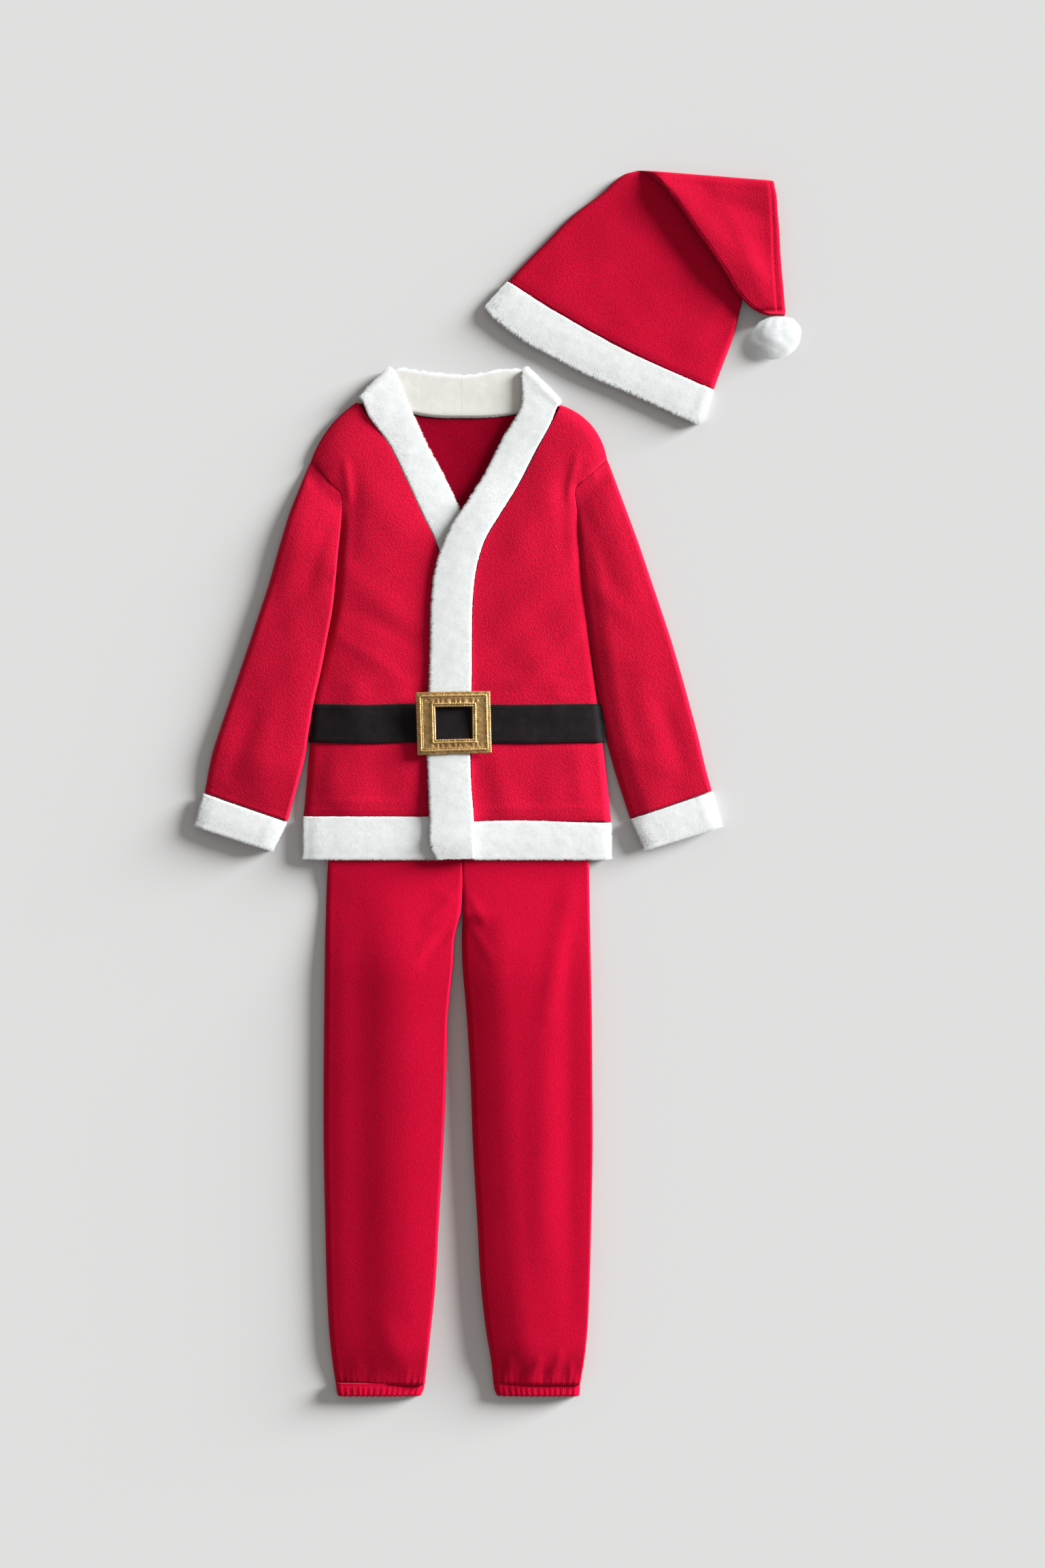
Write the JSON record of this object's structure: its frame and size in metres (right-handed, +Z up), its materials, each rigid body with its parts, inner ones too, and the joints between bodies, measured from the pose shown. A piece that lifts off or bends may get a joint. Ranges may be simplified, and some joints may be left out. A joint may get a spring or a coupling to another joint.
{
  "type": "santa suit",
  "caption": "Child's red fleece santa suit laid flat: belted jacket with white fur trim over tucked-in trousers, beside a fur-banded hat with its tip folded over and a pompom.",
  "frame": {"origin": "middle of the suit's outline, on the surface that it lies on", "axes": "+X towards the wearer's left, +Y from the ankles to the head, +Z up off the surface"},
  "size_m": [0.6668, 1.3478, 0.045],
  "materials": {
    "red_fleece": "brushed fleece with a short matt nap",
    "white_fur": "short dense white fur, matt",
    "belt_felt": "black felt, matt, with stitched edges",
    "buckle_gold": "gold-foiled imitation leather, embossed, satin to bright"
  },
  "bodies": {
    "root": {"belt_left": "belt_felt", "belt_right": "belt_felt", "buckle": "buckle_gold", "cuff_left_top": "white_fur", "cuff_left_under": "white_fur", "cuff_right_top": "white_fur", "cuff_right_under": "white_fur", "front_band_left": "white_fur", "front_band_right": "white_fur", "hat_back": "red_fleece", "hat_band_back": "white_fur", "hat_band_front": "white_fur", "hat_front": "red_fleece", "hat_tip": "red_fleece", "hem_band_back": "white_fur", "hem_band_front_left": "white_fur", "hem_band_front_right": "white_fur", "hem_casing_left_back": "red_fleece", "hem_casing_left_front": "red_fleece", "hem_casing_right_back": "red_fleece", "hem_casing_right_front": "red_fleece", "jacket_back": "red_fleece", "jacket_front_left": "red_fleece", "jacket_front_right": "red_fleece", "pompom": "white_fur", "sleeve_left_top": "red_fleece", "sleeve_left_under": "red_fleece", "sleeve_right_top": "red_fleece", "sleeve_right_under": "red_fleece", "trouser_back_left": "red_fleece", "trouser_back_right": "red_fleece", "trouser_front_left": "red_fleece", "trouser_front_right": "red_fleece", "waistband_back": "red_fleece", "waistband_front": "red_fleece"}
  },
  "joints": []
}
